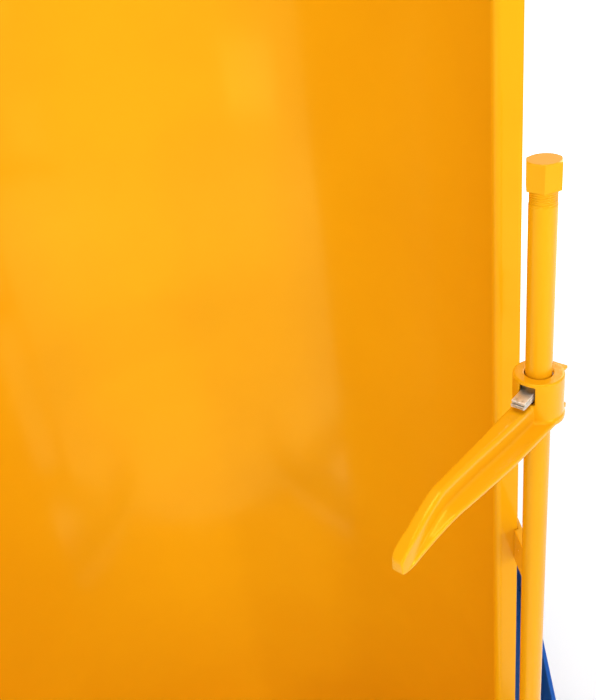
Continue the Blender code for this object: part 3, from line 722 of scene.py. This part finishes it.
def on_arm(s, n, z):
    p = ALONG * s + ASIDE * n
    return W(PX + p.x, PY + p.y, z)


def arm_block(s, n, z):
    bm = bmesh.new()
    corners = [bm.verts.new(on_arm(u, v, w)) for w in z for u, v in ((s[0], n[0]), (s[1], n[0]), (s[1], n[1]), (s[0], n[1]))]
    for face in ((3, 2, 1, 0), (4, 5, 6, 7), (0, 1, 5, 4), (1, 2, 6, 5), (2, 3, 7, 6), (3, 0, 4, 7)):
        bm.faces.new([corners[i] for i in face])
    return bm


def joined(name, base, others):
    """base with others added or cut away: (bmesh, operation) pairs."""
    graph_objects = []

    def holder(bm, label):
        obj = bpy.data.objects.new(label, from_bm(bm, label))
        scene.collection.objects.link(obj)
        graph_objects.append(obj)
        return obj

    target = holder(base, name)
    for i, (bm, operation) in enumerate(others):
        modifier = target.modifiers.new(f"step_{i}", "BOOLEAN")
        modifier.operation = operation
        modifier.solver = "EXACT"
        modifier.object = holder(bm, f"{name}_{i}")
    mesh = bpy.data.meshes.new_from_object(target.evaluated_get(bpy.context.evaluated_depsgraph_get()))
    for obj in graph_objects:
        old = obj.data
        bpy.data.objects.remove(obj, do_unlink=True)
        bpy.data.meshes.remove(old)
    return mesh


def cast_arm():
    """The clamp's casting: a rib on a base flange, with a slotted collar; rounded as sand castings are."""
    stops = sorted({*(s for s, *_ in ARM), *range(4, 200, 4)})
    stops = [s for s in stops if s >= 4]
    bm = bmesh.new()
    rows = [[bm.verts.new(on_arm(s, n, z)) for n, z in arm_section(s)] for s in stops]
    for a, b in zip(rows, rows[1:]):
        for i in range(len(a)):
            j = (i + 1) % len(a)
            bm.faces.new((a[i], a[j], b[j], b[i]))
    bm.faces.new(list(reversed(rows[0])))
    bm.faces.new(rows[-1])
    place = W(PX, PY, 0)
    k = 0.001
    r, bore = 21.1 * k, 11.8 * k
    wall = [(bore, 66.8 * k), (r - 1.4 * k, 66.8 * k), (r - 0.5 * k, 66.5 * k), (r, 65.6 * k), (r, 32.2 * k), (r + 0.25 * k, 30.9 * k),
            (r + 0.9 * k, 29.9 * k), (r + 1.3 * k, 28.6 * k), (r + 1.0 * k, 25.2 * k), (r, 24.55 * k), (bore, 24.55 * k)]
    collar = lathe(wall + wall[:1], place, (0, 0, 1), 96)
    cuts = [
        (collar, "UNION"),
        (arm_block((-21, -8), (-15.3, 15.3), (64.0, 66.7)), "UNION"),
        (arm_block((-21, -8), (-15.3, 15.3), (24.7, 29.4)), "UNION"),
        (lathe([(0.0001, -0.02), (bore, -0.02), (bore, 0.09), (0.0001, 0.09)], place, (0, 0, 1), 96), "DIFFERENCE"),
        (lathe([(0.0001, 0.0465), (0.0184, 0.0465), (0.0184, 0.0637), (0.0001, 0.0637)], place, (0, 0, 1), 72), "DIFFERENCE"),
        (arm_block((6, 40), (-7.2, 7.2), (46.2, 63.6)), "DIFFERENCE"),
        (arm_block((-40, -6), (-7.2, 7.2), (50.5, 63.9)), "DIFFERENCE"),
    ]
    mesh = joined("arm_solid", bm, cuts)
    holder = bpy.data.objects.new("arm_solid", mesh)
    scene.collection.objects.link(holder)
    remesh = holder.modifiers.new("voxels", "REMESH")
    remesh.mode = "VOXEL"
    remesh.voxel_size = 0.0006
    cast = bpy.data.meshes.new_from_object(holder.evaluated_get(bpy.context.evaluated_depsgraph_get()))
    bpy.data.objects.remove(holder, do_unlink=True)
    relax(cast, 6, 0.55, -0.56)
    obj = piece("clamp_arm_cast", cast, "clamp", yellow_cast, 80.0)
    # Painted shade: the faces inside the collar's chamber take the near-black iron, which stands in for the shade in
    # the slot.
    cast.materials.append(painted_shade_iron)
    centres = np.empty(len(cast.polygons) * 3)
    cast.polygons.foreach_get("center", centres)
    centres = centres.reshape(-1, 3)
    away = np.hypot(centres[:, 0] - place.x, centres[:, 1] - place.y)
    height = centres[:, 2] - place.z
    painted_shade_faces = (away < 0.0188) & (height > 0.0462) & (height < 0.0642)
    cast.polygons.foreach_set("material_index", painted_shade_faces.astype(np.int32))
    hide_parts("clamp_arm")
    return obj


cast_arm()


def clutch_plate(number):
    """One stamped plate, a little thinner than its share of the stack and not quite square to its neighbours."""
    bm = node_bm(f"clutch_plate_{number}")
    face = max(bm.faces, key=lambda f: f.calc_area())
    flat = face.normal.copy()
    middle = sum((v.co for v in bm.verts), Vector()) / len(bm.verts)
    turn = Matrix.Rotation(math.radians((0.5, -0.4, 0.3, -0.5)[number - 1]), 3, flat)
    heart = on_arm(0, 0, 57.6)
    level = Matrix.Rotation(math.radians(-4), 3, ASIDE)
    push = ALONG * (0.0004, -0.0005, 0.0003, -0.0002)[number - 1]
    for v in bm.verts:
        away = v.co - middle
        away -= flat * away.dot(flat) * 0.38
        v.co = heart + level @ (middle + turn @ away + push - heart) - Vector((0, 0, 0.0013))
    obj = piece(f"clutch_plate_{number}_finish", from_bm(bm, "plate"), "plates", plate_zinc, 25.0)
    bevelled(obj, 0.00022, 2, 25.0)
    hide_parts(f"clutch_plate_{number}")


for number in range(1, 5):
    clutch_plate(number)

# ---- floor frame --------------------------------------------------------
for node in ("rail_left", "rail_right"):
    dress(node, blue_steel, 0.0016, 3)
for node in ("upright_left", "upright_right", "cross_tube_front", "cross_tube_rear"):
    dress(node, blue_steel, 0.0026, 3)
for node in ("brace_left", "brace_right"):
    dress(node, blue_steel, 0.0014, 3)
for end in ("front", "rear"):
    for side in ("left", "right"):
        dress(f"foot_{end}_{side}", blue_steel, 0.0008, 2)
for side in ("left", "right"):
    dress(f"bearing_block_{side}", blue_steel, 0.0014, 3)
    dress(f"bearing_bush_{side}", bronze, 0.0006, 2)
    dress(f"stop_bumper_{side}", rubber, 0.0008, 2)
    dress(f"base_clevis_{side}", blue_steel, 0.0010, 2)
    dress(f"base_pin_{side}", zinc, 0.0010, 2)
    dress(f"cylinder_barrel_{side}", black_enamel, 0.0008, 2)
    dress(f"cylinder_gland_{side}", black_enamel, 0.0008, 2)
    dress(f"cylinder_rod_{side}", chrome, 0.0006, 2)
    dress(f"rod_pin_{side}", zinc, 0.0010, 2)
dress("power_base", blue_steel, 0.0010, 2)
dress("reservoir", blue_steel, 0.0, 2)
dress("filler_cap", plastic, 0.0008, 2)
dress("motor", blue_steel, 0.0012, 2)
dress("fan_cover", plastic, 0.0008, 2)
dress("pump_block", alloy, 0.0012, 2)
dress("control_box", plastic, 0.0005, 2)
dress("button_up", green_knob, 0.0008, 3)
dress("button_down", red_knob, 0.0008, 3)



def bent_hose(side):
    """A hose made from its node's faces, smooth-shaded and left fixed in the row frame."""
    mesh = from_bm(node_bm(f"hose_{side}"), "hose")
    obj = bpy.data.objects.new(f"hose_{side}_finish", mesh)
    scene.collection.objects.link(obj)
    mesh.materials.clear()
    mesh.materials.append(hose_skin)
    mesh.shade_smooth()
    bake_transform(obj)
    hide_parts(f"hose_{side}")
    return obj


bent_hose("left")
bent_hose("right")

# ---- welds, fasteners and fittings --------------------------------------
def detail(name, body_of, bm, look, slot, angle=40.0):
    return piece(name, from_bm(bm, name), BODY_OF[body_of], look, angle)


def line(*points):
    return [W(*p) for p in points]


def ring_of(centre, axis, radius, count=72, a0=0.0, a1=360.0):
    """Points of a circle, or of part of it, in chute coordinates."""
    axis = Vector(axis).normalized()
    side = Vector((0, 0, 1)) if abs(axis.z) < 0.9 else Vector((1, 0, 0))
    u = side.cross(axis).normalized()
    v = axis.cross(u)
    made = []
    for i in range(count + 1):
        a = math.radians(a0 + (a1 - a0) * i / count)
        p = Vector(centre) + (u * math.cos(a) + v * math.sin(a)) * radius
        made.append(W(*p))
    return made


def bolts(name, body_of, places, along, flats, height, washer=None, stud=None, look=None, slot="zinc_plate"):
    """Hexagon heads at places, each turned its own way."""
    heads = [hexagon_head(W(*p), along, flats * 0.001, height * 0.001, math.radians(17 + 47 * i),
                          None if washer is None else (washer[0] * 0.001, washer[1] * 0.001),
                          None if stud is None else (stud[0] * 0.001, stud[1] * 0.001)) for i, p in enumerate(places)]
    return detail(name, body_of, merge(*heads), look or zinc, slot, 30.0)


def socket_screws(name, body_of, places, along, radius, height, look, slot):
    """Cap screws with a recess in the middle of each head."""
    r, h = radius * 0.001, height * 0.001
    profile = [(r * 0.96, 0), (r, h * 0.1), (r, h * 0.82), (r * 0.9, h), (r * 0.52, h), (r * 0.47, h * 0.9), (r * 0.45, h * 0.35), (0.0001, h * 0.3)]
    return detail(name, body_of, merge(*[lathe(profile, W(*p), along, 24) for p in places]), look, slot, 35.0)


def beads(name, body_of, routes, radius, look, slot):
    return detail(name, body_of, merge(*[weld_bead(route, radius * 0.001, i) for i, route in enumerate(routes)]), look, slot, 70.0)


def outer_arc(r, z, a0, a1):
    count = max(3, int(abs(a1 - a0) / 1.0))
    return line(*[(r * math.cos(math.radians(a0 + (a1 - a0) * i / count)), r * math.sin(math.radians(a0 + (a1 - a0) * i / count)), z) for i in range(count + 1)])


# chute: stitch welds of the bands, full welds of the floor plate and the tipping arms
stitches = []
for z0 in (-640, -130, 520):
    for edge in (-21.2, 21.2):
        for a in (25, 41, 57, 73, 89, 105, 121, 137, 153):
            if z0 > -300 and (abs(a - 41) < 1 or abs(a - 137) < 1):
                continue
            stitches.append(outer_arc(312.6, z0 + edge, a - 3.2, a + 3.2))
beads("band_welds", "chute_shell", stitches, 2.4, yellow_plate, "yellow_paint")
beads("chute_floor_weld", "chute_shell", [outer_arc(313.4, -883.6, 8, 172)], 3.2, yellow_plate, "yellow_paint")
arm_routes = []
for sign in (-1, 1):
    inner_y = math.sqrt(312.3 ** 2 - 234.5 ** 2)
    outer_y = math.sqrt(312.3 ** 2 - 249.5 ** 2)
    for z_low, z_high in ((-106, 496),):
        arm_routes.append(line((sign * 234.6, inner_y + 0.6, z_low), (sign * 234.6, inner_y + 0.6, z_high)))
    for z0 in (-130, 520):
        band_in = math.sqrt(318.3 ** 2 - 234.5 ** 2)
        arm_routes.append(line((sign * 234.8, band_in + 0.8, z0 - 18), (sign * 234.8, band_in + 0.8, z0 + 18)))
beads("tip_arm_welds", "chute_shell", arm_routes, 3.4, yellow_plate, "yellow_paint")
fillers = []
for sign in (-1, 1):
    for z_low, z_high in ((-109, 499),):
        fillers.append(line((sign * 247.0, 199.2, z_low), (sign * 247.0, 199.2, z_high)))
beads("tip_arm_outer_welds", "chute_shell", fillers, 7.0, yellow_plate, "yellow_paint")
shaft_routes = []
for sign in (-1, 1):
    for x in (235.0, 249.0):
        shaft_routes.append(ring_of((sign * x, 400, 235), (1, 0, 0), 24.6, 90))
beads("shaft_welds", "chute_shell", shaft_routes, 3.4, yellow_plate, "yellow_paint")
flange_routes = []
for z0 in (-216, -620):
    flange_routes.append(line((331.8, 23.6, z0 - 19), (331.8, 23.6, z0 + 19)))
beads("bracket_welds", "chute_shell", flange_routes, 2.6, yellow_plate, "yellow_paint")
collars = []
for sign in (-1, 1):
    collars.append(lathe([(0.0229, 0), (0.0345, 0), (0.0355, 0.001), (0.0355, 0.013), (0.0345, 0.014), (0.0229, 0.014), (0.0229, 0)],
                         W(sign * 326, 400, 235), (sign, 0, 0), 56))
detail("shaft_collars", "pivot_shaft", merge(*collars), zinc, "zinc_plate", 30.0)
socket_screws("collar_screws", "pivot_shaft", [(-333, 400, 270.2), (333, 400, 270.2)], (0, 0, 1), 4.5, 2.5, black_enamel, "black_paint")

# floor frame: fillet welds of uprights, braces, feet and clevises
frame_routes = []
for sign in (-1, 1):
    for y in (368.6, 431.4):
        frame_routes.append(line((sign * 342, y, -821.8), (sign * 398, y, -821.8)))
    frame_routes.append(line((sign * 342, 368.6, -357.6), (sign * 392, 368.6, -357.6)))
    frame_routes.append(line((sign * 392.6, 368.6, -352), (sign * 392.6, 368.6, -288)))
    frame_routes.append(line((sign * 342, -173.4, -821.6), (sign * 392, -173.4, -821.6)))
    frame_routes.append(line((sign * 392.6, -259, -821.8), (sign * 392.6, -181, -821.8)))
    for y0, y1 in ((-478, -392), (632, 718)):
        frame_routes.append(line((sign * 401.4, y0, -890.6), (sign * 401.4, y1, -890.6)))
        frame_routes.append(line((sign * 338.6, y0, -890.6), (sign * 338.6, y1, -890.6)))
    for y in (448.8, 511.2):
        frame_routes.append(line((sign * 271, y, -827.6), (sign * 329, y, -827.6)))
beads("frame_welds", "rail_left", frame_routes, 2.8, blue_steel, "blue_paint")

for side, sign in (("left", -1), ("right", 1)):
    places = [(sign * x, y, 194.8) for x in (357, 383) for y in (347, 453)]
    bolts(f"bearing_bolts_{side}", f"bearing_block_{side}", places, (0, 0, 1), 16, 7, (9.5, 1.8), (4.9, 3.5))
    nipple = lathe([(0.0032, 0), (0.0042, 0.0005), (0.0042, 0.005), (0.0028, 0.006), (0.0022, 0.0085), (0.0032, 0.0105), (0.0026, 0.0128), (0.0001, 0.0135)],
                   W(sign * 370, 400, 276.6), (0, 0, 1), 24)
    detail(f"grease_nipple_{side}", f"bearing_block_{side}", nipple, zinc, "zinc_plate")
    # shaft end: a plate and a screw hold it
    bolts(f"shaft_end_{side}", "pivot_shaft", [(sign * 398.0, 400, 235)], (sign, 0, 0), 17, 6.5, (15, 2.5))

# cylinders: weld rings, wiper, ports, retaining rings
cyl_along = Vector((0, 280.0 - 480.0, -40.0 + 790.0)).normalized()
for side, sign in (("left", -1), ("right", 1)):
    x = sign * 300
    base = Vector((x, 480, -790))
    at = lambda d: base + cyl_along * d
    beads(f"barrel_weld_{side}", f"cylinder_barrel_{side}", [ring_of(at(38.6), cyl_along, 16.4, 60), ring_of((x - sign * 32.4, at(76).y, at(76).z), (1, 0, 0), 9.6, 40)],
          2.4, black_enamel, "black_paint")
    wiper = lathe([(0.0163, 0.0), (0.0235, 0.0), (0.0235, 0.0016), (0.0205, 0.0030), (0.0172, 0.0046), (0.0163, 0.0046), (0.0163, 0.0)], W(*at(700.1)), cyl_along, 56)
    detail(f"rod_wiper_{side}", f"cylinder_gland_{side}", wiper, rubber, "black_rubber")
    pins = []
    for d in (-33.6, 32.0):
        pins.append(lathe([(0.0117, 0), (0.0152, 0), (0.0155, 0.0003), (0.0155, 0.0013), (0.0152, 0.0016), (0.0117, 0.0016), (0.0117, 0)], W(x + d, 480, -790), (1, 0, 0), 40))
    detail(f"base_rings_{side}", f"base_pin_{side}", merge(*pins), steel, "bright_steel")
    ring = lathe([(0.0117, 0), (0.0152, 0), (0.0155, 0.0003), (0.0155, 0.0013), (0.0152, 0.0016), (0.0117, 0.0016), (0.0117, 0)], W(x + sign * 16.6, 280, -40), (sign, 0, 0), 40)
    detail(f"rod_ring_{side}", f"rod_pin_{side}", ring, steel, "bright_steel")
    port = hexagon_head(W(x - sign * 42.2, at(76).y, at(76).z), (-sign, 0, 0), 0.019, 0.010, 0.3)
    sleeve = lathe([(0.0075, 0), (0.0086, 0.0006), (0.0086, 0.018), (0.0080, 0.020), (0.0071, 0.020)], W(x - sign * 52.0, at(76).y, at(76).z), (-sign, 0, 0), 32)
    detail(f"hose_fitting_{side}", f"cylinder_barrel_{side}", merge(port, sleeve), zinc, "zinc_plate", 30.0)

# power unit
bolts("power_base_bolts", "power_base", [(-191.5, 480, -823), (191.5, 480, -823), (-191.5, 600, -823), (191.5, 600, -823)], (0, 0, 1), 12, 5.5, (7.8, 1.4))
fins = []
for i in range(48):
    a = 360.0 * i / 48
    if 40 < a < 140 or 232 < a < 308:
        continue
    u, v = math.cos(math.radians(a)), math.sin(math.radians(a))
    across = Vector((0, -v, u)) * 1.1
    out = Vector((0, u, v))
    bm = bmesh.new()
    rings = []
    for x in (-84, 42):
        centre = Vector((x, 605, -612))
        low, high = centre + out * 60.5, centre + out * 66.5
        rings.append([bm.verts.new(W(*(low - across * 1.25))), bm.verts.new(W(*(low + across * 1.25))), bm.verts.new(W(*(high + across * 0.7))), bm.verts.new(W(*(high - across * 0.7)))])
    for k in range(4):
        bm.faces.new((rings[0][k], rings[0][(k + 1) % 4], rings[1][(k + 1) % 4], rings[1][k]))
    bm.faces.new(rings[0])
    bm.faces.new(rings[1])
    fins.append(bm)
fin_piece = detail("motor_fins", "motor", merge(*fins), blue_steel, "blue_paint", 25.0)
bevelled(fin_piece, 0.0005, 2, 30.0)
bell = merge(*[lathe([(0.0600, 0), (0.0650, 0), (0.0668, 0.0014), (0.0668, 0.0086), (0.0650, 0.010), (0.0600, 0.010)], W(x, 605, -612), (1, 0, 0), 96) for x in (-94.6, 44.6)])
detail("motor_bells", "motor", bell, blue_steel, "blue_paint", 30.0)
socket_screws("terminal_screws", "motor", [(x, y, -530.0) for x in (-47, 7) for y in (573, 637)], (0, 0, 1), 3.6, 2.2, zinc, "zinc_plate")
lid_route = [W(x, y, -536.5) for x, y in ((-55.1, 564.9), (15.1, 564.9), (15.1, 645.1), (-55.1, 645.1))]
lid = []
for a, b in zip(lid_route, lid_route[1:] + lid_route[:1]):
    lid.append(sweep([a, b], 0.0012, 8))
detail("terminal_gasket", "motor", merge(*lid), rubber, "black_rubber")


def gland(name, body_of, place, along, look, slot, r=9.0):
    """A cable gland: hexagon and domed nut."""
    k = r * 0.001
    along = Vector(along)
    hexa = hexagon_head(W(*place), along, k * 2.1, 0.005, 0.4)
    dome = lathe([(k * 0.92, 0), (k * 0.95, 0.002), (k * 0.95, 0.010), (k * 0.85, 0.014), (k * 0.62, 0.0165), (k * 0.50, 0.0168), (k * 0.46, 0.0150), (k * 0.44, 0.004), (0.0001, 0.004)],
                 W(*place) + along.normalized() * 0.005, along, 40, 0.0, 2 * math.pi,
                 lambda a, h, rr: -0.0004 if (h > 0.0025 and h < 0.012 and math.sin(a * 16) > 0.3) else 0.0)
    return detail(name, body_of, merge(hexa, dome), look, slot, 35.0)


gland("motor_gland", "motor", (-20, 645.2, -556), (0, 1, 0), plastic, "black_plastic", 9.0)
grille = []
for r in (12, 21, 30, 39, 48):
    grille.append(sweep([p for p in ring_of((-131.6, 605, -612), (1, 0, 0), r, 72)][:-1], 0.0013, 8, closed=True))
for i in range(8):
    a = math.radians(45 * i + 22.5)
    grille.append(sweep([W(-131.9, 605 + 9 * math.cos(a), -612 + 9 * math.sin(a)), W(-131.9, 605 + 50 * math.cos(a), -612 + 50 * math.sin(a))], 0.0014, 8))
grille.append(lathe([(0.0001, 0.0022), (0.008, 0.0022), (0.0096, 0.0012), (0.010, 0)], W(-131.4, 605, -612), (-1, 0, 0), 40))
detail("fan_grille", "fan_cover", merge(*grille), plastic, "black_plastic", 50.0)
socket_screws("fan_cover_screws", "fan_cover", [(-95.5 + 1.0, 605 + 64.2 * math.cos(math.radians(a)), -612 + 64.2 * math.sin(math.radians(a))) for a in (0, 180)], (0, 1, 0), 2.8, 1.6, zinc, "zinc_plate")

for name, x in (("a", 85), ("b", 128)):
    coil = lathe([(0.0178, 0), (0.0190, 0.0012), (0.0190, 0.0330), (0.0178, 0.0345), (0.0172, 0.0345)], W(x, 585, -560), (0, 0, 1), 56)
    detail(f"valve_coil_{name}", "pump_block", coil, plastic, "black_plastic")
    nut = hexagon_head(W(x, 585, -518), (0, 0, 1), 0.019, 0.006, 0.2, None, (0.0055, 0.004))
    detail(f"valve_nut_{name}", "pump_block", nut, zinc, "zinc_plate", 30.0)
    bm = bmesh.new()
    bmesh.ops.create_cube(bm, size=1)
    bmesh.ops.transform(bm, matrix=Matrix.Translation(W(x, 612, -544)) @ Matrix.Diagonal((0.024, 0.022, 0.024, 1)), verts=bm.verts)
    plug = detail(f"valve_plug_{name}", "pump_block", bm, plastic, "black_plastic", 30.0)
    bevelled(plug, 0.0022, 3, 30.0)
socket_screws("pump_screws", "pump_block", [(x, 559.8, z) for x in (70, 142) for z in (-692, -574)], (0, -1, 0), 4.4, 4.0, black_enamel, "black_paint")
socket_screws("pump_plugs", "pump_block", [(150.2, 582, z) for z in (-672, -640, -600)], (1, 0, 0), 7.0, 1.6, zinc, "zinc_plate")
fittings = []
for x in (95, 126):
    fittings.append(hexagon_head(W(x, 559.8, -640), (0, -1, 0), 0.019, 0.010, 0.3))
    fittings.append(lathe([(0.0075, 0), (0.0086, 0.0006), (0.0086, 0.014), (0.0080, 0.016), (0.0071, 0.016)], W(x, 550.0, -640), (0, -1, 0), 32))
detail("pump_fittings", "pump_block", merge(*fittings), zinc, "zinc_plate", 30.0)
gauge = merge(lathe([(0.0001, 0.0035), (0.0085, 0.0035), (0.0090, 0.0022)], W(-60, 690, -730), (0, 1, 0), 48),)
amber = polymer("sight_glass", (0.55, 0.20, 0.02, 1), 0.10, 900.0, 0.000004, 0.6)
detail("sight_glass", "reservoir", gauge, amber, None)
bezel = lathe([(0.0088, 0.0020), (0.0092, 0.0050), (0.0125, 0.0050), (0.0150, 0.0036), (0.0150, 0)], W(-60, 690, -730), (0, 1, 0), 48)
detail("sight_glass_ring", "reservoir", bezel, alloy, "cast_aluminium", 30.0)
bolts("drain_plug", "reservoir", [(-185.0, 602, -806)], (-1, 0, 0), 17, 7, (11, 1.6))
seam = []
for a, b in (((-181, 514.6, -823 + 9), (56, 514.6, -823 + 9)), ((-181, 690.4, -823 + 9), (56, 690.4, -823 + 9))):
    seam.append(line(a, b))
beads("reservoir_weld", "reservoir", seam, 1.8, blue_steel, "blue_paint")
socket_screws("reservoir_lid_screws", "reservoir", [(x, y, -690.2) for x in (-172, 46) for y in (528, 677)], (0, 0, 1), 4.4, 3.4, zinc, "zinc_plate")

# controls
socket_screws("control_screws", "control_box", [(-396.2, y, z) for y in (436, 480) for z in (-46.5, -183.5)], (-1, 0, 0), 2.8, 1.4, zinc, "zinc_plate")
rings = []
for z in (-85, -140):
    rings.append(lathe([(0.01165, 0.0), (0.0155, 0.0), (0.0155, 0.0014), (0.0140, 0.0032), (0.0122, 0.0036), (0.01165, 0.0034), (0.01165, 0.0)], W(-396.0, 458, z), (-1, 0, 0), 56))
detail("button_rings", "control_box", merge(*rings), alloy, "cast_aluminium", 30.0)
gland("control_gland", "control_box", (-370, 458, -190.2), (0, 0, -1), plastic, "black_plastic", 9.0)
lid = []
inset = [W(-380.5, 432.5, -39.9), W(-380.5, 484.0, -39.9), W(-380.5, 486.1, -42.5), W(-380.5, 486.1, -187.5), W(-380.5, 484.0, -190.1), W(-380.5, 432.5, -190.1)]
lid.append(sweep(inset, 0.0008, 8))
detail("control_lid_seam", "control_box", merge(*lid), rubber, "black_rubber", 50.0)
